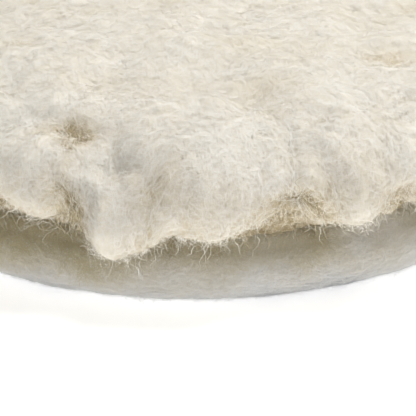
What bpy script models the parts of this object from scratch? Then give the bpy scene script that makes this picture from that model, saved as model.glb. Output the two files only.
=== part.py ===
"""Wool polishing pad, 180 mm size, for a hook-and-loop backing plate.

The pad lies on its loop face with the wool up. Metres, +Z up, origin at the middle of the loop face.
"""

from math import cos, pi, sin, sqrt

import bmesh
import bpy
from mathutils import Vector

# Driving dimensions
PAD_RADIUS = 0.090  # outside of the short side wool
LOOP_RADIUS = 0.076
LOOP_THICKNESS = 0.0022
CLOTH_THICKNESS = 0.0008
GLUE_THICKNESS = 0.0004
FOAM_THICKNESS = 0.016
HIDE_THICKNESS = 0.0015
STRIP_THICKNESS = 0.0012
PILE_LENGTH = 0.029  # long wool above the face hide
FLEECE_RADIUS = 0.097  # the long wool's widest point
GAP = 0.0003  # between pieces that touch

# Stack heights, from the floor up
CLOTH_BASE = LOOP_THICKNESS + GAP
LOWER_GLUE_BASE = CLOTH_BASE + CLOTH_THICKNESS + GAP
FOAM_BASE = LOWER_GLUE_BASE + GLUE_THICKNESS + GAP
FOAM_TOP = FOAM_BASE + FOAM_THICKNESS
UPPER_GLUE_BASE = FOAM_TOP + GAP
HIDE_BASE = UPPER_GLUE_BASE + GLUE_THICKNESS + GAP
HIDE_TOP = HIDE_BASE + HIDE_THICKNESS
FLEECE_BASE = HIDE_TOP + GAP
FLEECE_TOP = FLEECE_BASE + PILE_LENGTH

# Radii of the layers inside the side strip
FOAM_RADIUS = 0.0775
FOAM_EDGE = 0.0020  # the foam disc's rounded corners
GLUE_RADIUS = 0.0750
STRIP_INNER_RADIUS = 0.0790
STRIP_OUTER_RADIUS = STRIP_INNER_RADIUS + STRIP_THICKNESS
HIDE_RADIUS = 0.0825

# Centring recess: a hole through the back layers that ends inside the foam
RECESS_RADIUS = 0.011
RECESS_ROOF = FOAM_BASE + 0.008

# Seams
STITCH_RADII = {"inner_stitch_thread": 0.030, "outer_stitch_thread": 0.066}
GROOVE_DEPTH = 0.0011
GROOVE_HALF_WIDTH = 0.0008
STITCH_THREAD_RADIUS = 0.00035
OVERLOCK_RADIUS = 0.0007
HEM_CLEARANCE = 0.0004  # between the loop disc's edge and the overlock round it
JOINT_SLIT = 0.0006  # between the two ends of the side strip
JOINT_STITCHES = 5
JOINT_HALF_WIDTH = 0.002
JOINT_THREAD_RADIUS = 0.00028

# Soft outlines
BAND_CENTRE_RADIUS = 0.0820
BAND_TONGUE_RADIUS = 0.0784  # where the side wool ends under the strip
BAND_TOP = 0.0188
BAND_FLOOR_GAP = 0.0003
LIP_RADIUS = 0.0880  # the long wool's lowest point, where it hangs over the rim
LIP_HEIGHT = 0.0178
THROAT_RADIUS = 0.0832  # the long wool round the edge of the face hide
THROAT_HEIGHT = 0.0204
WIDEST_HEIGHT = 0.0300
DOME_SQUARENESS = 2.9  # 2 is an ellipse, more is a flatter crown with a fuller shoulder
TUFT_ROWS = ((7, 0.0010, 0.4), (13, 0.0007, 1.9))  # count round the pad, swell, phase

ROUND_STEPS = 60
BEAD_SIDES = 5


def clear_scene():
    for item in list(bpy.data.objects):
        bpy.data.objects.remove(item)


def make_material(name, colour, roughness):
    made = bpy.data.materials.new(name)
    made.use_nodes = True
    shader = made.node_tree.nodes["Principled BSDF"]
    shader.inputs["Base Color"].default_value = (*colour, 1.0)
    shader.inputs["Roughness"].default_value = roughness
    shader.inputs["Metallic"].default_value = 0.0
    made.diffuse_color = (*colour, 1.0)
    return made


def arc(centre, semi_axes, start, end, steps):
    """Points on an ellipse in the (radius, height) plane, from one angle in degrees to another."""
    points = []
    for step in range(steps + 1):
        angle = (start + (end - start) * step / steps) * pi / 180
        points.append((centre[0] + semi_axes[0] * cos(angle), centre[1] + semi_axes[1] * sin(angle)))
    return points


def add_mesh(name, mesh, material, smooth_angle=40):
    bmesh.ops.recalc_face_normals(mesh, faces=mesh.faces)
    data = bpy.data.meshes.new(name)
    mesh.to_mesh(data)
    mesh.free()
    data.materials.append(material)
    data.shade_smooth()
    data.set_sharp_from_angle(angle=smooth_angle * pi / 180)
    made = bpy.data.objects.new(name, data)
    bpy.context.scene.collection.objects.link(made)
    return made


def turned(name, outline, material, shape=None, smooth_angle=40):
    """A solid turned about Z from a closed (radius, height) outline. Points at radius 0 become poles.

    shape(angle, radius, height) may return another radius and height for a point at that angle.
    """
    steps = ROUND_STEPS
    mesh = bmesh.new()
    rings = []
    for radius, height in outline:
        if radius == 0:
            rings.append([mesh.verts.new((0, 0, height))])
            continue
        ring = []
        for step in range(steps):
            angle = 2 * pi * step / steps
            r, z = shape(angle, radius, height) if shape else (radius, height)
            ring.append(mesh.verts.new((r * cos(angle), r * sin(angle), z)))
        rings.append(ring)
    for lower, upper in zip(rings, rings[1:] + rings[:1]):
        if len(lower) == 1 and len(upper) == 1:
            continue
        for step in range(steps):
            following = (step + 1) % steps
            corners = [lower[step % len(lower)], lower[following % len(lower)]]
            corners += [upper[following % len(upper)], upper[step % len(upper)]]
            mesh.faces.new(list(dict.fromkeys(corners)))
    return add_mesh(name, mesh, material, smooth_angle)


def disc_outline(radius, base, thickness, hole=0.0):
    """A flat disc, or a flat ring if it has a hole."""
    return [(hole, base), (radius, base), (radius, base + thickness), (hole, base + thickness)]


def bead_ring(name, radius, height, thread_radius, material):
    """A seam's thread bead laid in a circle round the pad's axis."""
    outline = arc((radius, height), (thread_radius, thread_radius), 0, 360 - 360 / BEAD_SIDES, BEAD_SIDES - 1)
    return turned(name, outline, material, smooth_angle=80)


def make_loop_disc(material):
    """The loop layer, with a groove where each stitch ring pulls it in."""
    outline = [(RECESS_RADIUS, 0)]
    for radius in STITCH_RADII.values():
        outline += [
            (radius - GROOVE_HALF_WIDTH, 0),
            (radius - GROOVE_HALF_WIDTH / 2, GROOVE_DEPTH),
            (radius + GROOVE_HALF_WIDTH / 2, GROOVE_DEPTH),
            (radius + GROOVE_HALF_WIDTH, 0),
        ]
    outline += [(LOOP_RADIUS, 0), (LOOP_RADIUS, LOOP_THICKNESS), (RECESS_RADIUS, LOOP_THICKNESS)]
    return turned("loop_disc", outline, material)


def make_stitch_rings(material):
    """Each lockstitch ring lies in its groove in the loop layer, a thread's width off the groove's roof."""
    height = GROOVE_DEPTH - GAP - STITCH_THREAD_RADIUS
    for name, radius in STITCH_RADII.items():
        bead_ring(name, radius, height, STITCH_THREAD_RADIUS, material)


def make_foam_core(material):
    """A foam disc with rounded corners and a blind round recess in its underside."""
    edge = FOAM_EDGE
    low = arc((FOAM_RADIUS - edge, FOAM_BASE + edge), (edge, edge), -90, 0, 2)
    high = arc((FOAM_RADIUS - edge, FOAM_TOP - edge), (edge, edge), 0, 90, 2)
    recess = [(RECESS_RADIUS, RECESS_ROOF), (RECESS_RADIUS, FOAM_BASE)]
    return turned("foam_core", [(0, RECESS_ROOF), *recess, *low, *high, (0, FOAM_TOP)], material)


def make_band_hide(material):
    """The side strip: an upright band of hide whose two ends meet at the back, a slit apart."""
    mesh = bmesh.new()
    base, top = CLOTH_BASE + CLOTH_THICKNESS + GAP, HIDE_BASE - GAP
    half_slit = JOINT_SLIT / 2 / STRIP_INNER_RADIUS
    sections = []
    for step in range(ROUND_STEPS + 1):
        angle = pi / 2 + half_slit + (2 * pi - 2 * half_slit) * step / ROUND_STEPS
        corners = disc_outline(STRIP_OUTER_RADIUS, base, top - base, STRIP_INNER_RADIUS)
        sections.append([mesh.verts.new((r * cos(angle), r * sin(angle), z)) for r, z in corners])
    for near, far in zip(sections, sections[1:]):
        for i in range(4):
            mesh.faces.new((near[i], near[(i + 1) % 4], far[(i + 1) % 4], far[i]))
    mesh.faces.new(sections[0])
    mesh.faces.new(sections[-1])
    return add_mesh("band_hide", mesh, material)


def make_joint_thread(material):
    """A zigzag thread up the inside of the strip's butt joint."""
    radius = (FOAM_RADIUS + STRIP_INNER_RADIUS) / 2
    low, high = FOAM_BASE + FOAM_EDGE, FOAM_TOP - FOAM_EDGE
    turns = 2 * JOINT_STITCHES
    points = []
    for turn in range(turns + 1):
        across = JOINT_HALF_WIDTH * (-1 if turn % 2 else 1)
        points.append(Vector((across, sqrt(radius**2 - across**2), low + (high - low) * turn / turns)))
    curve = bpy.data.curves.new("band_joint_thread", "CURVE")
    curve.dimensions = "3D"
    curve.bevel_depth = JOINT_THREAD_RADIUS
    curve.bevel_resolution = 1
    curve.use_fill_caps = True
    spline = curve.splines.new("POLY")
    spline.points.add(turns)
    for place, point in zip(spline.points, points):
        place.co = (*point, 1)
    curve.materials.append(material)
    made = bpy.data.objects.new("band_joint_thread", curve)
    bpy.context.scene.collection.objects.link(made)
    return made


def make_band_fleece(material):
    """The short side wool: a roll round the strip that turns in under it at the bottom."""
    bulge = PAD_RADIUS - BAND_CENTRE_RADIUS
    half_height = (BAND_TOP - 0.002 - BAND_FLOOR_GAP) / 2
    roll = arc((BAND_CENTRE_RADIUS, BAND_FLOOR_GAP + half_height), (bulge, half_height), -90, 90, 9)
    wall = STRIP_OUTER_RADIUS + GAP
    tongue_top = CLOTH_BASE - GAP
    inner = [(wall, BAND_TOP), (wall, tongue_top), (BAND_TONGUE_RADIUS, tongue_top)]
    tongue = [(BAND_TONGUE_RADIUS, BAND_FLOOR_GAP + 0.0004)]
    return turned("band_fleece", [*roll, (BAND_CENTRE_RADIUS - 0.0005, BAND_TOP), *inner, *tongue], material)


def tufted(angle, radius, height):
    """The long wool's outline swells and dips a little round the pad, least towards the middle."""
    swell = sum(size * sin(count * angle + phase) for count, size, phase in TUFT_ROWS)
    return radius + swell * max(0, radius - THROAT_RADIUS) / (FLEECE_RADIUS - THROAT_RADIUS), height


def make_face_fleece(material):
    """The long wool: a crowned cushion of pile on the face hide that hangs over its rim all round."""
    lip = arc((LIP_RADIUS, WIDEST_HEIGHT), (FLEECE_RADIUS - LIP_RADIUS, WIDEST_HEIGHT - LIP_HEIGHT), -90, 0, 4)
    dome = []
    steps = 8
    for step in range(1, steps):
        turn = pi / 2 * step / steps
        power = 2 / DOME_SQUARENESS
        dome.append((FLEECE_RADIUS * cos(turn) ** power,
                     WIDEST_HEIGHT + (FLEECE_TOP - WIDEST_HEIGHT) * sin(turn) ** power))
    throat = [(0, FLEECE_BASE), (THROAT_RADIUS, FLEECE_BASE), (THROAT_RADIUS, THROAT_HEIGHT)]
    return turned("face_fleece", [*throat, *lip, *dome, (0, FLEECE_TOP)], material, shape=tufted)


def main():
    clear_scene()
    long_wool = make_material("long_wool", (0.85, 0.80, 0.69), 0.95)
    short_wool = make_material("short_wool", (0.78, 0.75, 0.68), 0.95)
    hide = make_material("hide", (0.80, 0.71, 0.55), 0.75)
    foam = make_material("foam", (0.82, 0.80, 0.72), 0.90)
    glue = make_material("glue", (0.75, 0.68, 0.45), 0.40)
    cloth = make_material("cloth", (0.76, 0.73, 0.66), 0.90)
    loop = make_material("loop", (0.86, 0.85, 0.82), 0.80)
    thread = make_material("thread", (0.88, 0.86, 0.80), 0.60)

    make_loop_disc(loop)
    make_stitch_rings(thread)
    cloth_outline = disc_outline(STRIP_OUTER_RADIUS, CLOTH_BASE, CLOTH_THICKNESS, RECESS_RADIUS)
    turned("backing_cloth", cloth_outline, cloth)
    lower_glue = disc_outline(GLUE_RADIUS, LOWER_GLUE_BASE, GLUE_THICKNESS, RECESS_RADIUS + 0.001)
    turned("lower_glue_film", lower_glue, glue)
    make_foam_core(foam)
    turned("upper_glue_film", disc_outline(GLUE_RADIUS, UPPER_GLUE_BASE, GLUE_THICKNESS), glue)
    turned("face_hide", disc_outline(HIDE_RADIUS, HIDE_BASE, HIDE_THICKNESS), hide)
    make_band_hide(hide)
    make_joint_thread(thread)
    seam = OVERLOCK_RADIUS
    bead_ring("rim_seam_thread", STRIP_OUTER_RADIUS + GAP + seam, HIDE_BASE - GAP - seam, seam, thread)
    bead_ring("hem_seam_thread", LOOP_RADIUS + HEM_CLEARANCE + seam, LOOP_THICKNESS / 2, seam, thread)
    make_band_fleece(short_wool)
    make_face_fleece(long_wool)


main()
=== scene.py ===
"""Looks of the wool polishing pad: fleeces laid strand by strand over lumpy cores, and a sewn loop back."""

from collections import namedtuple
from math import cos, pi, radians, sin, tau

import bpy
import numpy as np
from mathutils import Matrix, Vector


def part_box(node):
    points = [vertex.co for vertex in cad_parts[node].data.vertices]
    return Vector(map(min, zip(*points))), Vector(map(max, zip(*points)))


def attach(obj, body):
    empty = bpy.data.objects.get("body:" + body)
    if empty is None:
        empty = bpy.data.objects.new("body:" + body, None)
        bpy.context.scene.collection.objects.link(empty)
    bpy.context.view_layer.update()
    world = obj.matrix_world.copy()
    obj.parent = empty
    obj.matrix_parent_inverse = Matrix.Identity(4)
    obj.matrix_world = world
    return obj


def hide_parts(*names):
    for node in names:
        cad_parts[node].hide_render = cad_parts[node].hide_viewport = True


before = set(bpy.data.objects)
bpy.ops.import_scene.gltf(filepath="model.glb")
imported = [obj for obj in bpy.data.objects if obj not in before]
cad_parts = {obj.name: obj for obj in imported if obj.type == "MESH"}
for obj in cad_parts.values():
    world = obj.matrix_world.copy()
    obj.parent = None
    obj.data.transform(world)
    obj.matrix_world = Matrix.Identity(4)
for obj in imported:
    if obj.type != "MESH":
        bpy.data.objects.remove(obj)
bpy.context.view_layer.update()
MM = 0.001  # a millimetre in the scene's metres

# ---------------- sizes taken from the frame
LONG_LOW, LONG_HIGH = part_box("face_fleece")
BAND_LOW, BAND_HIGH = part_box("band_fleece")
HIDE_LOW, HIDE_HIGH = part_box("face_hide")
STRIP_LOW, STRIP_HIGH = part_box("band_hide")
LOOP_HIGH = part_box("loop_disc")[1]
FLEECE_RADIUS = (LONG_HIGH.x - LONG_LOW.x) / 2
BAND_RADIUS = (BAND_HIGH.x - BAND_LOW.x) / 2
HIDE_RADIUS = HIDE_HIGH.x
STRIP_RADIUS = STRIP_HIGH.x
LOOP_RADIUS = LOOP_HIGH.x

# ---------------- the long wool
CORE_INSET = 4.0 * MM  # the lumpy core lies this far inside the CAD outline before its locks swell
DOME_SQUARENESS = 2.4  # 2 would make the dome's outline an ellipse, and more makes it boxier
WIDEST_SHARE = 0.36  # height of the widest point, as a share of the long wool's height
LIP_TUCK = 9.0 * MM  # how far the hanging lip's lowest point lies inside the widest point
LIP_LIFT = 8.5 * MM  # the core's lip lies this far above the CAD one, and the hanging locks reach down to it

# Masses of wool at the front: degrees round from the front (positive to the right), millimetres along the
# pile from the crown, then width and height in millimetres.
FRONT_LOCKS = (
    (3, 98, 20, 6.2),
    (-11.5, 110, 11.5, 4.8),
    (-18.5, 96, 7, 2.4),
    (-30, 101, 14, 4.6),
    (26, 101, 15, 4.8),
    (41, 101, 15, 4.4),
    (-45, 99, 16, 4.4),
    (-14, 80, 13, 2.2),
    (-31, 80, 14, 2.0),
    (26, 80, 15, 2.4),
    (7, 82, 12, 2.2),
)
# Clefts between them, where the strands are browner as painted shade: degrees, then place along, width and
# depth in millimetres.
FRONT_CLEFTS = (
    (-24.0, 90, 6.0, 2.8),
    (-20.5, 100, 4.0, 1.4),
    (-18.8, 112, 5.5, 2.4),
    (15, 68, 5.0, 0.9),
    (17, 79, 6.0, 1.2),
    (18.5, 112, 5.0, 1.9),
    (36, 93, 5.0, 1.4),
    (-16, 46, 5.0, 0.6),
    (-26, 55, 6.0, 0.8),
)
# Tufts that hang from the lip at the front: degrees, half width and drop in millimetres.
FRONT_TUFTS = (
    (-11.5, 15, 7.4),
    (4, 17, 2.2),
    (27, 15, 3.8),
    (43, 14, 3.4),
    (-32, 15, 2.4),
    (-46, 14, 2.5),
)
CAD_PILE_LENGTH = 128.7 * MM  # along the CAD outline from the crown to the throat, which the rows above go by
FRONT_REACH = radians(42)  # random clefts, tufts and rim locks stay at least this far from the front
FRONT_TOP = 0.55  # share of the pile's length beyond which the front has only its own locks

# The rest of the rim has random locks, clefts and tufts. Each pair is the least and the most, in millimetres.
LOCK_SPACING = 19 * MM
LOCK_WIDTHS = (13, 22)
LOCK_HEIGHTS = (1.0, 2.4)
RIM_LOCK_HEIGHTS = (0.5, 3.5)  # added to the height of a lock at the rim
CLEFT_SPACING = 26 * MM
CLEFT_BELT = (0.45, 0.85)  # the clefts lie between these shares of the pile's length
CLEFT_WIDTHS = (4.5, 8)
CLEFT_DEPTHS = (0.8, 2.6)
TUFT_SPACING = radians(11)
TUFT_SWAY = 0.08  # radians by which a tuft may be off its even place
TUFT_WIDTHS = (10, 18)
TUFT_DROPS = (0, 7)

# Finer relief of the long wool: wavelength, height all over and extra height at the rim, in millimetres.
LONG_RELIEF = (
    (26, 0.5, 0.4),
    (13, 0.2, 0.25),
    (6, 0.20, 0.10),
)
RIM_BELT = (0.5, 0.75)  # between these shares of the pile's length the dome's top turns into its rim
UNDER_BELT = (0.86, 0.97)  # and between these the lip turns in under itself
UNDER_CALM = 0.75  # under the lip, locks are lower and curls and loose strands fewer by this share

# ---------------- the side wool
BAND_INSET = 0.6 * MM  # the core lies this far inside the CAD outline
BAND_BULGE = 8 * MM  # how far the rounded side stands out from the centre of its curve
BAND_FOOT = 11 * MM  # the side wool turns in under the strip to this far inside its outer radius
STAIN_AND_SHADE_ANGLE = radians(235)  # the side wool is browner towards this side, left of the front: partly a real stain, partly painted shade under the overhanging long wool
PARTING_WIDTH = 1.1 * MM  # the side wool parts over the strip's butt joint, at +Y
PARTING_DEPTH = 0.7 * MM

# Steps round the pad and along the outline, for each turned surface.
LONG_GRID = (640, 150)
BAND_GRID = (640, 60)
LOOP_GRID = (512, 180)
FOAM_GRID = (300, 300)
CLOTH_GRID = (360, 200)

rng = np.random.default_rng(52)


# ---------------- noise and small vector helpers
class Ripples:
    """Smooth random noise about one unit high: a sum of plane waves near one wavelength."""

    def __init__(self, wavelength):
        waves = 28
        headings = rng.normal(size=(waves, 3))
        headings /= np.linalg.norm(headings, axis=1, keepdims=True)
        self.pushes = headings * tau / (wavelength * rng.uniform(0.7, 1.5, (waves, 1)))
        self.phases = rng.uniform(0, tau, waves)
        self.gain = np.sqrt(2 / waves)

    def __call__(self, points):
        total = np.zeros(points.shape[:-1])
        for push, phase in zip(self.pushes, self.phases):
            total += np.cos(points @ push + phase)
        return self.gain * total


def unit(vectors):
    """Vectors scaled to a length of one."""
    return vectors / np.maximum(np.linalg.norm(vectors, axis=-1, keepdims=True), 1e-12)


def smoothstep(low, high, value):
    """A smooth rise from 0 at low to 1 at high, which may also lie below low."""
    t = np.clip((value - low) / (high - low), 0, 1)
    return t * t * (3 - 2 * t)


def blurred(field, passes):
    """A (round, along) field smoothed a step at a time; it joins up round the pad."""
    for _ in range(passes):
        field = (np.roll(field, 1, 0) + 2 * field + np.roll(field, -1, 0)) / 4
        ends = np.concatenate([field[:, :1], field, field[:, -1:]], 1)
        field = (ends[:, :-2] + 2 * ends[:, 1:-1] + ends[:, 2:]) / 4
    return field


# ---------------- a pile's surface
class Pile:
    """A surface turned round Z from an open outline, with a displacement. Places are (angle, along)."""

    def __init__(self, outline, round_steps, along_steps):
        outline = np.array(outline)
        reach = np.concatenate([[0], np.cumsum(np.linalg.norm(np.diff(outline, axis=0), axis=1))])
        self.length = reach[-1]
        self.along = np.linspace(0, self.length, along_steps)
        self.angles = np.arange(round_steps) * tau / round_steps
        self.radius = np.interp(self.along, reach, outline[:, 0])
        height = np.interp(self.along, reach, outline[:, 1])
        slope = unit(np.stack([np.gradient(self.radius), np.gradient(height)], -1))
        slope = unit(np.stack([blurred(slope[None, :, i], 3)[0] for i in range(2)], -1))
        round_x, round_y = np.cos(self.angles)[:, None], np.sin(self.angles)[:, None]
        self.base = np.stack([self.radius * round_x, self.radius * round_y, height + 0 * round_x], -1)
        out, rise = -slope[:, 1], slope[:, 0]
        self.base_normal = np.stack([out * round_x, out * round_y, rise + 0 * round_x], -1)
        self.points = self.base
        self.normals = self.base_normal

    def displace(self, height, shift=0):
        """Pushes the surface out by height and moves it by shift.

        soft is the same surface with its hollows bridged, and deep is how far each place lies in a hollow.
        """
        bridged, level = blurred(height, 24), blurred(height, 60)
        self.points = self.base + self.base_normal * height[..., None] + shift
        self.soft = self.base + self.base_normal * bridged[..., None] + shift
        self.deep = level - height
        by_angle = np.roll(self.points, -1, 0) - np.roll(self.points, 1, 0)
        by_along = np.gradient(self.points, axis=1)
        step = self.along[1] - self.along[0]
        self.round_scale = blurred(np.linalg.norm(by_angle, axis=-1), 2) * len(self.angles) / (2 * tau)
        self.along_scale = np.maximum(blurred(np.linalg.norm(by_along, axis=-1), 2) / step, 0.5)
        normals = unit(np.cross(by_along, by_angle))
        facing = np.sign(np.sum(normals * self.base_normal, -1, keepdims=True))
        self.normals = unit(np.stack([blurred((normals * facing)[..., i], 2) for i in range(3)], -1))

    def at(self, field, angle, along):
        """A field's values at places, blended between the four nearest grid points."""
        i = (angle / tau * len(self.angles)) % len(self.angles)
        j = np.clip(along / self.length, 0, 1) * (len(self.along) - 1)
        i0, j0 = i.astype(int) % len(self.angles), np.minimum(j.astype(int), len(self.along) - 2)
        u, v = i - i.astype(int), j - j0
        i1 = (i0 + 1) % len(self.angles)
        if field.ndim == 3:
            u, v = u[..., None], v[..., None]
        near = field[i0, j0] * (1 - u) + field[i1, j0] * u
        far = field[i0, j0 + 1] * (1 - u) + field[i1, j0 + 1] * u
        return near * (1 - v) + far * v

    def scatter(self, count, weight=None):
        """Random places, evenly spread over the area, or by weight."""
        width = np.linalg.norm(np.roll(self.points, -1, 0) - self.points, axis=-1)[:, :-1]
        depth = np.linalg.norm(np.diff(self.points, axis=1), axis=-1)
        area = width * depth * (1 if weight is None else weight[:, :-1])
        share = np.cumsum(area.ravel())
        cell = np.searchsorted(share, rng.random(count) * share[-1])
        i, j = np.unravel_index(np.minimum(cell, area.size - 1), area.shape)
        angle = (i + rng.random(count)) * tau / len(self.angles)
        along = (j + rng.random(count)) * self.length / (len(self.along) - 1)
        return angle, along


def ragged(places, wavelength, amount):
    """Places moved about at random, so that what is laid out round a centre gets a ragged outline.

    The moves' wavelength and amount are in millimetres.
    """
    return places + np.stack([Ripples(wavelength * MM)(places) for _ in range(3)], -1) * amount * MM


def dents(pile, clefts):
    """How deep a set of clefts cuts in, and how much of a cleft each place is, from 0 to 1."""
    full_depth = 3 * MM  # a cleft this deep or deeper counts as 1 at its centre
    depth = np.zeros(pile.base.shape[:2])
    share = np.zeros(pile.base.shape[:2])
    places = ragged(pile.base, 8, 1.2)
    for angle, along, width, cut in clefts:
        centre = pile.at(pile.base, np.array([angle]), np.array([along]))[0]
        near = np.exp(-np.sum((places - centre) ** 2, -1) / width**2)
        depth += near * cut
        share = np.maximum(share, near * min(1, cut / full_depth))
    return depth, share


def swellings(pile, locks):
    """How far a set of locks swells the surface: soft domes, the highest one winning at each place."""
    sharpness = 3  # the higher, the sharper the line where two locks meet
    stretch = 0.15  # how much longer the locks are round the pad than along it
    fullness = 0.85  # the lower, the steeper a lock's sides and the flatter its top
    places = ragged(pile.base, 14, 2.2)
    around = np.stack([-np.sin(pile.angles), np.cos(pile.angles), 0 * pile.angles], -1)[:, None, :]
    total = np.zeros(places.shape[:2])
    for angle, along, width, height in locks:
        centre = pile.at(pile.base, np.array([angle]), np.array([along]))[0]
        offset = places - centre
        sideways = np.sum(offset * around, -1)
        square = np.sum(offset * offset, -1) - stretch * sideways**2
        dome = np.clip(1 - square / width**2, 0, 1) ** fullness
        total += (dome * height) ** sharpness
    return total ** (1 / sharpness)


def droop(pile, tufts, lowest):
    """How far each place hangs down: round-ended tufts that hang most from the lip, at height lowest."""
    start = 0.66  # share of the way from the crown to the lip where the hanging begins
    drop = np.zeros(len(pile.angles))
    for angle, width, amount in tufts:
        away = (pile.angles - angle + pi) % tau - pi
        arc = away * pile.radius.max() / width
        drop += (amount * np.clip(1 - arc**2, 0, 1)) ** 3
    drop = np.cbrt(drop)
    lip = np.argmin(np.abs(pile.base[0, :, 2] - lowest))
    share = pile.along / pile.along[lip]
    fade = 1 - smoothstep(1.0, pile.length / pile.along[lip], share)
    return drop[:, None] * (smoothstep(start, 1.0, share) * fade)[None, :]


def spread_out(pile, spacing, taken, low=0.0, high=1.0):
    """Random places at least a spacing apart and clear of those taken, between two shares of the length."""
    tries = 6000
    centres = [pile.at(pile.base, np.array([a]), np.array([s]))[0] for a, s in taken]
    chosen = []
    angle, along = pile.scatter(tries)
    for a, s in zip(angle, along):
        if not low <= s / pile.length <= high:
            continue
        here = pile.at(pile.base, np.array([a]), np.array([s]))[0]
        if all(np.sum((here - c) ** 2) > spacing**2 for c in centres):
            centres.append(here)
            chosen.append((a, s))
    return chosen


# ---------------- strands
# One coat of strands: how many there are, their length, how many points each has, their width and twist.
# spread turns them at random from the flow, curl and wave bend them, lift is how far their weaving carries
# them off the surface, floats gives their random heights over it, loose is the share whose far end stands
# free, and sectors is the number of pieces that the coat is cut into.
Coat = namedtuple("Coat", "count length steps width twist spread curl wave lift floats loose sectors")


def gamma_floats(shape, scale):
    """Random heights over the surface: most are near the scale, in millimetres, and a few far out."""
    return lambda count: rng.gamma(shape, scale, count) * MM


def even_floats(low, high):
    """Random heights over the surface, even from low to high, in millimetres."""
    return lambda count: rng.uniform(low, high, count) * MM


COATS = {
    "long_wool_mat": Coat(
        count=200000, length=6 * MM, steps=6, width=0.10 * MM, twist=0.1, spread=3.0, curl=4.0, wave=1.2,
        lift=0.15 * MM, floats=gamma_floats(1.5, 0.15), loose=0.02, sectors=14),
    "long_wool_curl": Coat(
        count=30000, length=9 * MM, steps=11, width=0.085 * MM, twist=0.15, spread=3.0, curl=5.5, wave=1.6,
        lift=0.4 * MM, floats=gamma_floats(2.0, 0.4), loose=0.14, sectors=4),
    "long_wool_halo": Coat(
        count=7000, length=9 * MM, steps=10, width=0.07 * MM, twist=0.15, spread=3.0, curl=5.0, wave=1.2,
        lift=0.4 * MM, floats=gamma_floats(2.0, 0.3), loose=1.0, sectors=1),
    "side_wool_mat": Coat(
        count=60000, length=7 * MM, steps=6, width=0.10 * MM, twist=0.1, spread=1.0, curl=1.6, wave=0.5,
        lift=0.1 * MM, floats=gamma_floats(1.3, 0.14), loose=0.0, sectors=6),
    "side_wool_curl": Coat(
        count=8000, length=9 * MM, steps=11, width=0.08 * MM, twist=0.15, spread=1.2, curl=4.0, wave=1.0,
        lift=0.2 * MM, floats=gamma_floats(2.0, 0.25), loose=0.0, sectors=1),
    "loop_pile": Coat(
        count=34000, length=3.2 * MM, steps=7, width=0.09 * MM, twist=0.25, spread=3.0, curl=9.0, wave=0.8,
        lift=0.3 * MM, floats=even_floats(0.05, 0.6), loose=0.0, sectors=3),
}
NORMAL_JITTER = 0.06  # how far each strand's shading leans off the wool's own
FLOOR_GAP = 0.15 * MM  # no strand reaches lower than this
TIGHTEST_ROUND = 6 * MM  # the pile's radius is taken as at least this near its crown

# What varies from strand to strand, each from the least to the most.
LENGTH_SHARES = (0.6, 1.4)
WAVES = (0.8, 2.2)  # bends along a strand
WEAVES = (0.5, 1.5)  # times that it dips in and out of the wool
FREE_RISES = (0.1, 0.4)  # how high a free end stands, as a share of the strand's length
BRIDGES = (0, 0.35)  # how much of the hollows it bridges
WIDTH_SHARES = (0.7, 1.3)


def lay_strands(pile, coat, flow, weight):
    """Centre lines of a coat of strands that wander over a pile's surface.

    flow is the way the strands tend to lie, in radians from straight round the pad, and weight is where
    there are more of them.
    """
    count, steps = coat.count, coat.steps
    angle, along = pile.scatter(count, weight)
    here = pile.at(pile.base, angle, along)
    reach = coat.length * rng.uniform(*LENGTH_SHARES, count)
    t = np.linspace(0, 1, steps)[None, :]
    heading = flow(here) + coat.spread * rng.normal(size=count)
    heading = heading + np.where(rng.random(count) < 0.5, pi, 0)
    bend = coat.curl * rng.normal(size=(count, 1)) * (t - 0.5)
    swing = coat.wave * np.sin(tau * (t * rng.uniform(*WAVES, (count, 1)) + rng.random((count, 1))))
    heading = heading[:, None] + bend + swing
    stride = (reach / (steps - 1))[:, None]
    across = np.cumsum(np.cos(heading) * stride, 1)
    onward = np.cumsum(np.sin(heading) * stride, 1)

    # A free strand is rooted at its start, and the others are held at their middle.
    middle = steps // 2
    free = rng.random(count) < coat.loose
    anchor = np.where(free, 0, middle)[:, None]
    across -= np.take_along_axis(across, anchor, 1)
    onward -= np.take_along_axis(onward, anchor, 1)
    radius = np.maximum(pile.at(pile.round_scale, angle, along), TIGHTEST_ROUND)
    angles = angle[:, None] + across / radius[:, None]
    alongs = along[:, None] + onward / pile.at(pile.along_scale, angle, along)[:, None]

    # What runs over the crown comes down its other side, and what runs past the end turns back.
    angles = np.where(alongs < 0, angles + pi, angles)
    alongs = np.abs(alongs)
    overrun = np.maximum(alongs - pile.length, 0)
    alongs = alongs - 2 * overrun

    height = coat.floats(count)[:, None]
    weaving = np.sin(tau * (t * rng.uniform(*WEAVES, (count, 1)) + rng.random((count, 1))))
    height = height + coat.lift * weaving

    # A free end stands up, and its tip sinks a little under its own weight.
    rise = np.where(free, rng.uniform(*FREE_RISES, count) * reach, 0)[:, None]
    height = height + rise * t**1.4
    bridge = rng.uniform(*BRIDGES, count)[:, None, None]
    normals = pile.at(pile.normals, angles, alongs)
    centres = pile.at(pile.points, angles, alongs) * (1 - bridge)
    centres = centres + pile.at(pile.soft, angles, alongs) * bridge
    centres = centres + normals * height[..., None]
    centres[..., 2] -= (rise * t**2.5) * 0.5
    return {"centres": centres, "normals": normals, "angle": angle, "along": along, "here": here,
            "deep": pile.at(pile.deep, angle, along), "height": height[:, middle]}


def ribbons(centres, normals, width, twist):
    """Each strand as a ribbon, thinner at its ends, that faces out of the wool, give or take a twist."""
    count, steps = centres.shape[:2]
    along = unit(np.gradient(centres, axis=1))
    facing = unit(normals + twist * rng.normal(size=(count, 1, 3)))
    side = unit(np.cross(along, facing))
    t = np.linspace(0, 1, steps)
    taper = 0.3 + 0.7 * np.sin(pi * t) ** 0.6
    half = side * (taper * width / 2)[None, :, None] * rng.uniform(*WIDTH_SHARES, (count, 1, 1))
    return np.stack([centres - half, centres + half], 2)


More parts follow.
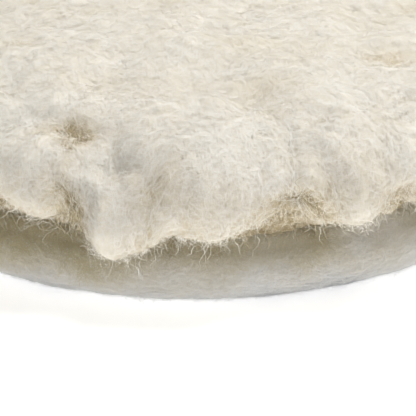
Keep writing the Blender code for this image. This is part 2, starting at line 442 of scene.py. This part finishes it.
def strand_mesh(name, edges, normals, slots, materials):
    """One mesh from (strand, step, side, xyz) ribbon edges, shaded as the wool's own surface is."""
    count, steps = edges.shape[:2]
    quads = count * (steps - 1)
    first = (np.arange(count)[:, None] * steps + np.arange(steps - 1)[None, :]).reshape(-1, 1) * 2
    corners = (first + np.array([[0, 1, 3, 2]])).astype(np.int32)
    mesh = bpy.data.meshes.new(name)
    mesh.vertices.add(count * steps * 2)
    mesh.vertices.foreach_set("co", edges.astype(np.float32).ravel())
    mesh.loops.add(quads * 4)
    mesh.loops.foreach_set("vertex_index", corners.ravel())
    mesh.polygons.add(quads)
    mesh.polygons.foreach_set("loop_start", np.arange(quads, dtype=np.int32) * 4)
    for material in materials:
        mesh.materials.append(material)
    mesh.polygons.foreach_set("material_index", np.repeat(slots, steps - 1).astype(np.int32))
    mesh.shade_smooth()
    shading = mesh.attributes.new("custom_normal", "FLOAT_VECTOR", "POINT")
    shading.data.foreach_set("vector", np.repeat(normals, 2, 1).astype(np.float32).ravel())
    mesh.update()
    return mesh


def add_piece(name, mesh, replaces=()):
    """A piece of the pad, which stands for some CAD nodes or for none."""
    piece = bpy.data.objects.new(name, mesh)
    bpy.context.scene.collection.objects.link(piece)
    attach(piece, "root")
    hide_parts(*replaces)
    return piece


def grow(name, pile, materials, shade, flow, weight=None):
    """A coat of strands all over a pile, cut into sectors so that each piece stays a handy size."""
    coat = COATS[name]
    strands = lay_strands(pile, coat, flow, weight)
    edges = ribbons(strands["centres"], strands["normals"], coat.width, coat.twist)
    lean = NORMAL_JITTER * rng.normal(size=strands["normals"][:, :1].shape)
    normals = unit(strands["normals"] + lean)
    edges[..., 2] = np.maximum(edges[..., 2], FLOOR_GAP)
    slots = np.clip(np.round(TINT_STEPS * shade(strands)), 0, len(materials) - 1).astype(int)
    sector = (strands["angle"] / tau * coat.sectors).astype(int) % coat.sectors
    for i in range(coat.sectors):
        mine = sector == i
        mesh = strand_mesh(f"{name}_{i:02d}", edges[mine], normals[mine], slots[mine], materials)
        add_piece(f"{name}_{i:02d}", mesh)


def core_mesh(name, pile, closing, material):
    """A closed body from a pile's surface: pole or ring at the start, and closing rings at the end."""
    has_pole = pile.radius[0] < 0.001 * MM
    rings = list(np.transpose(pile.points, (1, 0, 2)))
    if has_pole:
        rings = rings[1:]
    for radius, height in closing:
        rings.append(np.stack([radius * np.cos(pile.angles), radius * np.sin(pile.angles),
                               height + 0 * pile.angles], -1))
    count = len(pile.angles)
    vertices = np.concatenate(rings)
    start = np.arange(len(rings) - 1)[:, None] * count
    i = np.arange(count)[None, :]
    j = (i + 1) % count
    corners = [start + i, start + j, start + count + j, start + count + i]
    faces = np.stack(corners, -1).reshape(-1, 4).tolist()
    last = (len(rings) - 1) * count
    if has_pole:
        top = len(vertices)
        bottom = top + 1
        vertices = np.concatenate([vertices, pile.points[:1, 0], [[0, 0, closing[-1][1]]]])
        faces += [(top, (k + 1) % count, k) for k in range(count)]
        faces += [(bottom, last + k, last + (k + 1) % count) for k in range(count)]
    else:
        faces += [(last + k, last + (k + 1) % count, (k + 1) % count, k) for k in range(count)]
    mesh = bpy.data.meshes.new(name)
    mesh.from_pydata(vertices.tolist(), [], faces)
    mesh.materials.append(material)
    mesh.shade_smooth()
    mesh.update()
    return mesh


# ---------------- materials
def new_material(name, roughness=0.9, sheen=0.0):
    """A material with a Principled shader; gives the material, its node tree and its shader."""
    made = bpy.data.materials.new(name)
    made.use_nodes = True
    shader = made.node_tree.nodes["Principled BSDF"]
    shader.inputs["Roughness"].default_value = roughness
    shader.inputs["Specular IOR Level"].default_value = 0.2
    shader.inputs["Sheen Weight"].default_value = sheen
    shader.inputs["Sheen Roughness"].default_value = 0.5
    return made, made.node_tree, shader


def strand_material(name, colour, sheen=0.15):
    """One plain tint of fibre; the colour varies from strand to strand."""
    made, _, shader = new_material(name, 0.85, sheen)
    shader.inputs["Base Color"].default_value = (*colour, 1)
    return made


def matted_wool(name, low, high, patches):
    """The mat under the strands: two colours mixed by noise, patches to a metre, with a fine bump."""
    made, tree, shader = new_material(name, 0.9, 0.2)
    place = tree.nodes.new("ShaderNodeTexCoord")
    noise = tree.nodes.new("ShaderNodeTexNoise")
    noise.inputs["Scale"].default_value = patches
    noise.inputs["Detail"].default_value = 6
    ramp = tree.nodes.new("ShaderNodeValToRGB")
    for element, position, colour in zip(ramp.color_ramp.elements, (0.35, 0.65), (low, high)):
        element.position = position
        element.color = (*colour, 1)
    grain = tree.nodes.new("ShaderNodeTexNoise")
    grain.inputs["Scale"].default_value = 1 / (0.5 * MM)
    relief = tree.nodes.new("ShaderNodeBump")
    relief.inputs["Strength"].default_value = 0.05
    relief.inputs["Distance"].default_value = 0.3 * MM
    tree.links.new(place.outputs["Object"], noise.inputs["Vector"])
    tree.links.new(place.outputs["Object"], grain.inputs["Vector"])
    tree.links.new(noise.outputs["Fac"], ramp.inputs["Fac"])
    tree.links.new(ramp.outputs["Color"], shader.inputs["Base Color"])
    tree.links.new(grain.outputs["Fac"], relief.inputs["Height"])
    tree.links.new(relief.outputs["Normal"], shader.inputs["Normal"])
    return made


def patterned(name, low, high, pattern, bump, depth, roughness=0.8, coat=0.0):
    """Two colours mixed by a pattern of nodes, which also shapes the surface as a bump of this depth."""
    made, tree, shader = new_material(name, roughness)
    shader.inputs["Coat Weight"].default_value = coat
    place = tree.nodes.new("ShaderNodeTexCoord").outputs["Object"]
    value = pattern(tree, place)
    mix = tree.nodes.new("ShaderNodeMix")
    mix.data_type = "RGBA"
    mix.inputs["A"].default_value, mix.inputs["B"].default_value = (*low, 1), (*high, 1)
    relief = tree.nodes.new("ShaderNodeBump")
    relief.inputs["Strength"].default_value = bump
    relief.inputs["Distance"].default_value = depth
    tree.links.new(value, mix.inputs["Factor"])
    tree.links.new(mix.outputs["Result"], shader.inputs["Base Color"])
    tree.links.new(value, relief.inputs["Height"])
    tree.links.new(relief.outputs["Normal"], shader.inputs["Normal"])
    return made


def noise_pattern(size):
    """Soft clouds of about this size."""
    def pattern(tree, place):
        noise = tree.nodes.new("ShaderNodeTexNoise")
        noise.inputs["Scale"].default_value = 1 / size
        noise.inputs["Detail"].default_value = 4
        tree.links.new(place, noise.inputs["Vector"])
        return noise.outputs["Fac"]

    return pattern


def cell_pattern(size):
    """Rounded cells: the first colour at their middles and the second at their edges."""
    def pattern(tree, place):
        cells = tree.nodes.new("ShaderNodeTexVoronoi")
        cells.feature = "SMOOTH_F1"
        cells.inputs["Scale"].default_value = 1 / size
        tree.links.new(place, cells.inputs["Vector"])
        return cells.outputs["Distance"]

    return pattern


def weave_pattern(pitch):
    """Threads crossing each other in two directions, dark between them, a pitch apart."""
    def pattern(tree, place):
        threads = []
        for direction in ("X", "Y"):
            wave = tree.nodes.new("ShaderNodeTexWave")
            wave.bands_direction = direction
            wave.inputs["Scale"].default_value = tau / 20 / pitch  # Blender's wave repeats every tau / 20
            wave.inputs["Distortion"].default_value = 0.4
            tree.links.new(place, wave.inputs["Vector"])
            threads.append(wave.outputs["Fac"])
        join = tree.nodes.new("ShaderNodeMath")
        join.operation = "MULTIPLY"
        for i in range(2):
            tree.links.new(threads[i], join.inputs[i])
        return join.outputs["Value"]

    return pattern


# Wool colours from the palest to the deepest brown, each pair joined by steps in between: the palest are
# painted light on curls and loose strands, the middle ones the wool's own cream, and the browns painted shade
# in hollows, creases and clefts.
LONG_TINTS = (
    (0.93, 0.92, 0.885),
    (0.905, 0.888, 0.835),
    (0.89, 0.87, 0.815),
    (0.88, 0.85, 0.775),
    (0.87, 0.82, 0.72),
    (0.80, 0.73, 0.56),
    (0.66, 0.57, 0.38),
    (0.48, 0.39, 0.22),
)
# Side wool colours: a grey that is painted shade at the foot, the pale wool, then tan to brown that is
# painted shade in the crease under the long wool.
SHORT_TINTS = (
    (0.56, 0.565, 0.575),
    (0.79, 0.79, 0.78),
    (0.75, 0.725, 0.67),
    (0.66, 0.61, 0.48),
    (0.53, 0.47, 0.31),
)
TINT_STEPS = 3

# How far along LONG_TINTS or SHORT_TINTS a strand's colour lies: a base, and what each cause adds to it, or
# takes off it for height and under. Patch, yellow, streak and chance are the wool's own tone. Depth in a
# hollow, the crease and a cleft move a strand towards the browns as painted shade, height moves the higher
# strands towards the pale end as painted light, under moves the side wool's foot to its grey as painted
# shade, and the stain left of the front is partly a real stain and partly painted shade.
LONG_SHADE = {"base": 1.9, "patch": 0.45, "yellow": 0.4, "chance": 0.25, "deep": 0.7, "crease_shade": 3.5,
              "height": 0.2, "cleft": 4.5}
SHORT_SHADE = {"base": 1.1, "patch": 0.25, "streak": 0.2, "chance": 0.2, "crease_shade": 1.6, "stained crease": 1.3,
               "stain_and_shade": 0.7, "under": 1.2}
PALER = 2  # curls and loose strands catch more light, so they lie this much nearer the pale end


def tinted(name, stops):
    """Strand materials along a run of colours, TINT_STEPS to each pair."""
    made = []
    for step in range((len(stops) - 1) * TINT_STEPS + 1):
        i, share = divmod(step, TINT_STEPS)
        near, far = stops[i], stops[min(i + 1, len(stops) - 1)]
        colour = [a + (b - a) * share / TINT_STEPS for a, b in zip(near, far)]
        made.append(strand_material(f"{name}_{step:02d}", colour))
    return made


# ---------------- build the long wool
def long_outline():
    """The long wool's outline, an inset inside the CAD one: crown, shoulder, lip and throat."""
    top, low = LONG_HIGH.z - CORE_INSET, LONG_LOW.z + LIP_LIFT
    widest = LONG_LOW.z + WIDEST_SHARE * (LONG_HIGH.z - LONG_LOW.z)
    radius = FLEECE_RADIUS - CORE_INSET
    power = 2 / DOME_SQUARENESS
    points = []
    for turn in np.linspace(pi / 2, 0, 400):
        height = widest + (top - widest) * abs(sin(turn)) ** power
        points.append((radius * abs(cos(turn)) ** power, height))
    points[0] = (0, top)
    lip = FLEECE_RADIUS - LIP_TUCK
    for turn in np.linspace(0, -pi / 2, 60)[1:]:
        points.append((lip + (radius - lip) * cos(turn), widest + (widest - low) * sin(turn)))
    points.append((HIDE_RADIUS + 3.5 * MM, HIDE_LOW.z + 0.5 * MM))
    points.append((HIDE_RADIUS + 1.2 * MM, LONG_LOW.z + 1.4 * MM))
    return points


def placed(pile, rows):
    """Rows of degrees from the front and millimetres, in the pile's own angles and metres."""
    scale = pile.length / CAD_PILE_LENGTH
    return [(radians(a - 90) % tau, s * MM * scale, *(x * MM for x in rest)) for a, s, *rest in rows]


def at_front(angle):
    """Whether an angle lies near the front, which is at -Y."""
    return abs((angle - 1.5 * pi + pi) % tau - pi) < FRONT_REACH


def long_clefts(pile):
    """The front's own clefts, then others spread over the shoulder and rim."""
    clefts = placed(pile, FRONT_CLEFTS)
    taken = [row[:2] for row in clefts]
    for a, s in spread_out(pile, CLEFT_SPACING, taken, *CLEFT_BELT):
        if not at_front(a):
            clefts.append((a, s, rng.uniform(*CLEFT_WIDTHS) * MM, rng.uniform(*CLEFT_DEPTHS) * MM))
    return clefts


def long_locks(pile):
    """The front's own masses of wool, then others spread over the rest."""
    locks = placed(pile, FRONT_LOCKS)
    taken = [row[:2] for row in [*locks, *placed(pile, FRONT_CLEFTS)]]
    for a, s in spread_out(pile, LOCK_SPACING, taken):
        if at_front(a) and s > FRONT_TOP * pile.length:
            continue
        rim = smoothstep(0.55, 0.8, s / pile.length)
        height = rng.uniform(*LOCK_HEIGHTS) + rim * rng.uniform(*RIM_LOCK_HEIGHTS)
        locks.append((a, s, rng.uniform(*LOCK_WIDTHS) * MM, height * MM))
    return locks


def long_tufts():
    """The front's own hanging tufts, then others all round the lip."""
    tufts = [(radians(a - 90) % tau, w * MM, d * MM) for a, w, d in FRONT_TUFTS]
    for angle in np.arange(0, tau, TUFT_SPACING):
        angle = angle + rng.uniform(-TUFT_SWAY, TUFT_SWAY)
        if not at_front(angle):
            tufts.append((angle, rng.uniform(*TUFT_WIDTHS) * MM, rng.uniform(*TUFT_DROPS) * MM))
    return tufts


def build_long_wool():
    pile = Pile(long_outline(), *LONG_GRID)
    share = (pile.along / pile.length)[None, :]
    under = smoothstep(*UNDER_BELT, share)
    rim = smoothstep(*RIM_BELT, share)
    height = swellings(pile, long_locks(pile)) * (1 - UNDER_CALM * under)
    for wavelength, all_over, at_rim in LONG_RELIEF:
        height = height + (all_over + at_rim * rim) * MM * Ripples(wavelength * MM)(pile.base)
    # How much of a cleft each place is; the strands there are later browned as painted shade.
    cut, cleft = dents(pile, long_clefts(pile))
    height = height - cut
    drop = np.zeros_like(pile.base)
    drop[..., 2] = -droop(pile, long_tufts(), LONG_LOW.z + LIP_LIFT)
    pile.displace(height, drop)

    mat = matted_wool("wool_core", (0.84, 0.79, 0.68), (0.87, 0.84, 0.76), 60)
    closing = [(HIDE_RADIUS + 0.7 * MM, HIDE_HIGH.z + 0.3 * MM)]
    mesh = core_mesh("long_wool_core", pile, closing, mat)
    piece = add_piece("long_wool_core", mesh, ["face_fleece"])

    materials = tinted("long_wool", LONG_TINTS)
    drift, patch, yellow = Ripples(45 * MM), Ripples(26 * MM), Ripples(18 * MM)

    def flow(here):
        return 0.8 * drift(here) + 0.6 * patch(here)

    def shade(strands):
        """Painted shade: wool that lies deeper, lower, towards and under the lip or in a cleft is browner."""
        add = LONG_SHADE
        here, deep = strands["here"], strands["deep"] / MM
        share = strands["along"] / pile.length
        # Painted shade: the rim as it turns down and the lip's underside are browner, as are hollows, lower
        # strands and clefts.
        crease_shade = smoothstep(0.90, 1.0, share) + smoothstep(0.74, 0.92, share)
        value = add["base"] + add["patch"] * patch(here) + add["yellow"] * yellow(here)
        value = value + add["chance"] * rng.normal(size=len(deep)) + add["deep"] * np.clip(deep, -1, 3)
        value = value + add["crease_shade"] * crease_shade - add["height"] * strands["height"] / MM
        return value + add["cleft"] * pile.at(cleft, strands["angle"], strands["along"])

    def pale_shade(strands):
        return shade(strands) - PALER

    fewer_under = 1 - UNDER_CALM * under
    grow("long_wool_mat", pile, materials, shade, flow)
    grow("long_wool_curl", pile, materials, pale_shade, flow, (0.35 + 0.65 * rim) * fewer_under)
    grow("long_wool_halo", pile, materials, pale_shade, flow, fewer_under)


# ---------------- build the side band
def band_outline():
    """The side wool's outline from the strip's top, over the bulge, to where it turns in under the strip."""
    top = BAND_HIGH.z
    centre = BAND_RADIUS - BAND_BULGE
    low, high = BAND_LOW.z + BAND_INSET, top - 2 * MM - BAND_INSET
    middle, half = (low + high) / 2, (high - low) / 2
    points = [(STRIP_RADIUS + 0.4 * MM, top + 0.6 * MM), (centre, top + 0.2 * MM),
              (centre + 2.5 * MM, top - 1.6 * MM)]
    for turn in np.linspace(pi / 3.4, -pi / 2, 80):
        points.append((centre + (BAND_BULGE - BAND_INSET) * cos(turn), middle + half * sin(turn)))
    points.append((BAND_RADIUS - BAND_FOOT, low + 0.2 * MM))
    return points


def build_band():
    pile = Pile(band_outline(), *BAND_GRID)
    lumps, soft = Ripples(16 * MM), Ripples(5 * MM)
    away = smoothstep(0.0, 0.25, 1 - pile.along / pile.length)[None, :]  # flat where it turns in
    height = (0.14 * MM * lumps(pile.base) + 0.05 * MM * soft(pile.base)) * away
    from_joint = (pile.angles - pi / 2)[:, None] * BAND_RADIUS
    height = height - PARTING_DEPTH * np.exp(-(from_joint / PARTING_WIDTH) ** 2) * away
    pile.displace(height)
    mat = matted_wool("band_core", (0.68, 0.66, 0.60), (0.74, 0.73, 0.69), 80)
    floor = STRIP_LOW.z - 1.4 * MM
    closing = [(BAND_RADIUS - BAND_FOOT - 0.2 * MM, floor), (STRIP_RADIUS + 0.4 * MM, floor)]
    mesh = core_mesh("side_wool_core", pile, closing, mat)
    piece = add_piece("side_wool_core", mesh, ["band_fleece"])

    materials = tinted("short_wool", SHORT_TINTS)
    patch, streak = Ripples(22 * MM), Ripples(9 * MM)

    def flow(here):
        return 0.35 * patch(here)

    def shade(strands):
        """Painted shade: brown at the top, in the crease under the long wool, and grey at the foot."""
        add = SHORT_SHADE
        here = strands["here"]
        share = strands["along"] / pile.length
        # Painted shade: brown in the crease under the long wool and grey at the foot; the browning left of
        # the front is partly a real stain and partly painted shade.
        crease_shade = smoothstep(0.75, 0.1, share)
        stain_and_shade = np.maximum(np.cos(strands["angle"] - STAIN_AND_SHADE_ANGLE), 0) ** 3
        under = smoothstep(0.5, 0.85, share)
        value = add["base"] + add["patch"] * patch(here) + add["streak"] * streak(here)
        value = value + add["chance"] * rng.normal(size=len(share))
        value = value + (add["crease_shade"] + add["stained crease"] * stain_and_shade) * crease_shade
        return value + add["stain_and_shade"] * stain_and_shade - add["under"] * under

    grow("side_wool_mat", pile, materials, shade, flow)
    grow("side_wool_curl", pile, materials, shade, flow)


# ---------------- the loop back, its seams and the foam
BASE_SHARE = 0.5  # share of the loop layer's thickness taken by its knitted base
STITCH_LENGTH = 3.4 * MM
STITCH_GAP = 0.7 * MM
SEAM_PITCH = 1.9 * MM  # between the wraps of an overlocked seam
SEAM_COIL = 0.68  # a seam's thread winds at this share of the seam's half thickness, and its own is the rest
THREAD_PLIES = 2
PLY_PITCH = 1.6 * MM  # one turn of the plies round each other
PUCKER_WIDTH = 1.3 * MM  # how the stitches pull the loop layer in
PUCKER_DEPTH = 0.45 * MM
FOAM_EDGE = 2 * MM  # radius of the foam's rounded edges
LOOP_COLOURS = ((0.90, 0.89, 0.87), (0.84, 0.83, 0.80), (0.76, 0.75, 0.71))


def thread_mesh(name, paths, radius, material, sides=8):
    """Twisted threads along open or closed paths; the plies show as ridges that wind round each thread."""
    vertices, faces = [], []
    for path, closed in paths:
        path = np.array(path)
        count = len(path)
        ahead, behind = np.roll(path, -1, 0), np.roll(path, 1, 0)
        if not closed:
            ahead[-1], behind[0] = path[-1], path[0]
        along = unit(ahead - behind)
        side = unit(np.cross(along, np.array([0.13, 0.07, 1.0])))
        up = np.cross(side, along)
        reach = np.concatenate([[0], np.cumsum(np.linalg.norm(np.diff(path, axis=0), axis=1))])
        turns = max(1, round(reach[-1] / PLY_PITCH)) if closed else reach[-1] / PLY_PITCH
        twist = tau * turns * reach / reach[-1] / THREAD_PLIES
        around = np.arange(sides) * tau / sides
        ply = 0.80 + 0.20 * np.abs(np.cos(THREAD_PLIES * (around[None, :] - twist[:, None]) / 2))
        ring = (radius * ply)[..., None]
        sideways, upward = np.cos(around)[None, :, None], np.sin(around)[None, :, None]
        points = path[:, None] + ring * (sideways * side[:, None] + upward * up[:, None])
        start = len(vertices)
        vertices.extend(points.reshape(-1, 3).tolist())
        for i in range(count if closed else count - 1):
            here, there = start + i * sides, start + (i + 1) % count * sides
            for k in range(sides):
                m = (k + 1) % sides
                faces.append((here + k, here + m, there + m, there + k))
        if not closed:
            last = start + (count - 1) * sides
            faces.append(tuple(start + k for k in reversed(range(sides))))
            faces.append(tuple(last + k for k in range(sides)))
    mesh = bpy.data.meshes.new(name)
    mesh.from_pydata(vertices, [], faces)
    mesh.materials.append(material)
    mesh.shade_smooth()
    mesh.update()
    return mesh


def middle_of(node):
    """A seam node's ring: its centre radius, height and half thickness."""
    low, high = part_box(node)
    half = (high.z - low.z) / 2
    return high.x - half, (low.z + high.z) / 2, half


def stitches_round(radius):
    """How many stitches fit round a ring."""
    return round(tau * radius / (STITCH_LENGTH + STITCH_GAP))


def stitch_ring(radius, height, roof):
    """Separate stitches round a ring, each one coming up out of the cloth and going back in."""
    count = stitches_round(radius)
    paths = []
    for i in range(count):
        turn = tau * i / count + rng.normal() * 0.06 * MM / radius
        half = STITCH_LENGTH / 2 / radius * rng.uniform(0.94, 1.06)
        path = []
        for t in np.linspace(-1, 1, 13):
            rise = (roof - height) * abs(t) ** 6
            path.append((radius * cos(turn + t * half), radius * sin(turn + t * half), height + rise))
        paths.append((path, False))
    return paths


def overlock_ring(radius, height, coil):
    """One thread wrapped over and over round an edge."""
    steps = 14
    turns = round(tau * radius / SEAM_PITCH)
    path = []
    for i in range(turns * steps):
        turn, wrap = tau * i / (turns * steps), tau * i / steps
        out = radius + coil * cos(wrap)
        path.append((out * cos(turn), out * sin(turn), height + coil * sin(wrap)))
    return [(path, True)]


def centring_radius():
    """The radius of the hole in the loop disc, from its innermost corner."""
    return min(corner.co.xy.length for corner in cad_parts["loop_disc"].data.vertices)


def build_loop_layer(recess, thread):
    """The knitted base with its two rings of stitches, and the brushed loops on it."""
    knit = patterned("loop_base", (0.70, 0.69, 0.65), (0.84, 0.83, 0.80), weave_pattern(0.6 * MM), 0.6,
                     0.15 * MM)
    base = LOOP_HIGH.z * (1 - BASE_SHARE)
    outline = [(LOOP_RADIUS, LOOP_HIGH.z - 0.2 * MM), (LOOP_RADIUS, base + 0.4 * MM),
               (LOOP_RADIUS - 0.4 * MM, base), (recess + 0.3 * MM, base), (recess, base + 0.3 * MM)]
    pile = Pile(outline, *LOOP_GRID)
    sewn = np.zeros(pile.base.shape[:2])
    for node in ("inner_stitch_thread", "outer_stitch_thread"):
        radius, height, half = middle_of(node)
        across = (pile.radius - radius)[None, :]
        puckers = 1 + 0.25 * np.cos(pile.angles * stitches_round(radius))[:, None]
        sewn = sewn + np.exp(-(across / PUCKER_WIDTH) ** 2) * puckers
        stitches = stitch_ring(radius, height, LOOP_HIGH.z - 0.6 * MM)
        mesh = thread_mesh(node + "_stitches", stitches, half, thread)
        add_piece(node + "_stitches", mesh, [node])
    pile.displace(0.06 * MM * Ripples(9 * MM)(pile.base) - PUCKER_DEPTH * sewn)
    closing = [(recess, LOOP_HIGH.z), (LOOP_RADIUS - 0.3 * MM, LOOP_HIGH.z)]
    add_piece("loop_knit", core_mesh("loop_knit", pile, closing, knit), ["loop_disc"])

    flat = (pile.radius > recess + 0.8 * MM) & (pile.radius < LOOP_RADIUS - 0.8 * MM)
    fibres = [strand_material(f"loop_fibre_{i}", colour, 0.3) for i, colour in enumerate(LOOP_COLOURS)]
    cloud = Ripples(12 * MM)

    def flow(here):
        return 0.5 * cloud(here)

    def shade(strands):
        chance = rng.normal(size=len(strands["deep"]))
        return (0.9 + 0.4 * cloud(strands["here"]) + 0.5 * chance) / TINT_STEPS

    weight = flat[None, :] * (1.0 - 0.85 * np.clip(sewn, 0, 1))
    grow("loop_pile", pile, fibres, shade, flow, weight)


def build_seams(thread):
    """The two overlocked edges, each one thread wrapped round and round."""
    for node in ("hem_seam_thread", "rim_seam_thread"):
        radius, height, half = middle_of(node)
        path = overlock_ring(radius, height, half * SEAM_COIL)
        mesh = thread_mesh(node + "_overlock", path, half * (1 - SEAM_COIL), thread, sides=6)
        add_piece(node + "_overlock", mesh, [node])


def build_foam(recess):
    """The foam with its blind recess, its skin open-celled."""
    low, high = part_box("foam_core")
    radius, edge = high.x, FOAM_EDGE
    corners = [corner.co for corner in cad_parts["foam_core"].data.vertices]
    roof = max(c.z for c in corners if c.xy.length < recess + 0.1 * MM and c.z < high.z - MM)
    outline = [(0, high.z), (radius - edge, high.z)]
    quarter = np.linspace(0, pi / 2, 8)
    outline += [(radius - edge + edge * sin(t), high.z - edge + edge * cos(t)) for t in quarter]
    outline += [(radius - edge + edge * cos(t), low.z + edge - edge * sin(t)) for t in quarter]
    outline += [(recess + 0.4 * MM, low.z), (recess, low.z + 0.4 * MM), (recess, roof), (0.3 * MM, roof)]
    pile = Pile(outline, *FOAM_GRID)
    pile.displace(0.10 * MM * (Ripples(2.2 * MM)(pile.base) - 1))
    foam = patterned("foam_cells", (0.60, 0.56, 0.44), (0.88, 0.86, 0.78), cell_pattern(0.8 * MM), 1.0,
                     0.5 * MM, 0.95)
    mesh = core_mesh("foam_body", pile, [(0.2 * MM, roof)], foam)
    piece = add_piece("foam_body", mesh, ["foam_core"])


def build_cloth(recess):
    """The woven stiffening disc."""
    cloth = patterned("cloth_weave", (0.60, 0.57, 0.50), (0.80, 0.77, 0.70), weave_pattern(0.7 * MM), 0.8,
                      0.15 * MM)
    low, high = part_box("backing_cloth")
    edge, thick = high.x, high.z - low.z
    outline = [(0.2 * MM + recess, high.z), (edge - 0.2 * MM, high.z), (edge, high.z - thick / 2),
               (edge - 0.2 * MM, low.z), (recess + 0.2 * MM, low.z)]
    sheet = Pile(outline, *CLOTH_GRID)
    sheet.displace(0.03 * MM * Ripples(1.6 * MM)(sheet.base))
    closing = [(recess, (low.z + high.z) / 2)]
    add_piece("cloth_disc", core_mesh("cloth_disc", sheet, closing, cloth), ["backing_cloth"])


def finish_cad_nodes(thread):
    """Materials for the nodes whose CAD shape stays: the hides, the glue and the joint's zigzag."""
    hide = patterned("hide_grain", (0.82, 0.73, 0.57), (0.72, 0.61, 0.44), cell_pattern(1.1 * MM), 0.5,
                     0.12 * MM, 0.7)
    glue = patterned("glue_film", (0.66, 0.57, 0.34), (0.78, 0.71, 0.49), noise_pattern(4 * MM), 0.4,
                     0.1 * MM, 0.3, 0.3)
    looks = {"face_hide": hide, "band_hide": hide, "upper_glue_film": glue, "lower_glue_film": glue,
             "band_joint_thread": thread}
    for node, material in looks.items():
        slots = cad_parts[node].data.materials
        slots.clear()
        slots.append(material)


def build_back():
    thread = patterned("sewing_thread", (0.76, 0.73, 0.66), (0.90, 0.88, 0.83), noise_pattern(0.3 * MM), 0.3,
                       0.05 * MM)
    recess = centring_radius()
    build_loop_layer(recess, thread)
    build_seams(thread)
    build_foam(recess)
    build_cloth(recess)
    finish_cad_nodes(thread)


# ---------------- stage
FLOOR_RADIUS = 4.0
SWEEP = 0.9  # the height and reach of the paper's upturned edge
PAPER_COLOUR = (0.93, 0.93, 0.93, 1)
PAPER_GLOW = 0.58
WORLD_COLOUR = (1.0, 0.99, 0.965, 1)
WORLD_STRENGTH = 0.33
LAMP_PLACE = Vector((0.30, 0.17, 1.07))
LAMP_AIM = Vector((0, 0, 0.03))
LAMP_SIZE = 0.6
LAMP_ENERGY = 11.5
LAMP_COLOUR = (1.0, 0.98, 0.95)


def build_floor():
    """A round sheet of paper whose edge sweeps up all round, so that low views end on it too."""
    steps = 96
    outline = []
    for turn in np.linspace(pi / 2, 0, 12):
        outline.append((FLOOR_RADIUS - SWEEP * (1 - cos(turn)), SWEEP * (1 - sin(turn))))
    vertices = [(0, 0, 0)]
    for radius, height in outline:
        for i in range(steps):
            vertices.append((radius * cos(tau * i / steps), radius * sin(tau * i / steps), height))
    faces = [(0, 1 + i, 1 + (i + 1) % steps) for i in range(steps)]
    for ring in range(len(outline) - 1):
        low, high = 1 + ring * steps, 1 + (ring + 1) * steps
        faces += [(low + i, high + i, high + (i + 1) % steps, low + (i + 1) % steps) for i in range(steps)]
    mesh = bpy.data.meshes.new("floor")
    mesh.from_pydata(vertices, [], faces)
    mesh.shade_smooth()
    paper, _, shader = new_material("floor_paper")
    shader.inputs["Base Color"].default_value = PAPER_COLOUR
    shader.inputs["Emission Color"].default_value = (1, 1, 1, 1)
    shader.inputs["Emission Strength"].default_value = PAPER_GLOW
    mesh.materials.append(paper)
    floor = bpy.data.objects.new("floor", mesh)
    bpy.context.scene.collection.objects.link(floor)


def build_light():
    """An even, nearly white world, and one soft lamp high up on the right, a little behind the pad."""
    world = bpy.data.worlds.new("studio")
    world.use_nodes = True
    background = world.node_tree.nodes["Background"]
    background.inputs["Color"].default_value = WORLD_COLOUR
    background.inputs["Strength"].default_value = WORLD_STRENGTH
    bpy.context.scene.world = world
    light = bpy.data.lights.new("overhead", "AREA")
    light.shape = "DISK"
    light.size = LAMP_SIZE
    light.energy = LAMP_ENERGY
    light.color = LAMP_COLOUR
    lamp = bpy.data.objects.new("overhead", light)
    lamp.location = LAMP_PLACE
    lamp.rotation_euler = (LAMP_AIM - LAMP_PLACE).to_track_quat("-Z", "Y").to_euler()
    bpy.context.scene.collection.objects.link(lamp)


# ---------------- camera
VIEW_ELEVATION = radians(22)
VIEW_DISTANCE = 0.6
VIEW_WIDTH = 0.104  # how much of the pad the picture is wide, at the aim
VIEW_AIM = Vector((0.0035, -0.085, 0.0263))


def build_camera():
    data = bpy.data.cameras.new("camera")
    data.sensor_width = 36
    data.lens = data.sensor_width * VIEW_DISTANCE / VIEW_WIDTH
    data.clip_start, data.clip_end = 0.05, 20
    camera = bpy.data.objects.new("camera", data)
    back = Vector((0, -cos(VIEW_ELEVATION), sin(VIEW_ELEVATION)))
    camera.location = VIEW_AIM + back * VIEW_DISTANCE
    camera.rotation_euler = (-back).to_track_quat("-Z", "Y").to_euler()
    bpy.context.scene.collection.objects.link(camera)
    bpy.context.scene.camera = camera


build_long_wool()
build_band()
build_back()
build_floor()
build_light()
build_camera()
bpy.context.scene.view_settings.view_transform = "Standard"
bpy.context.scene.cycles.diffuse_bounces = 8
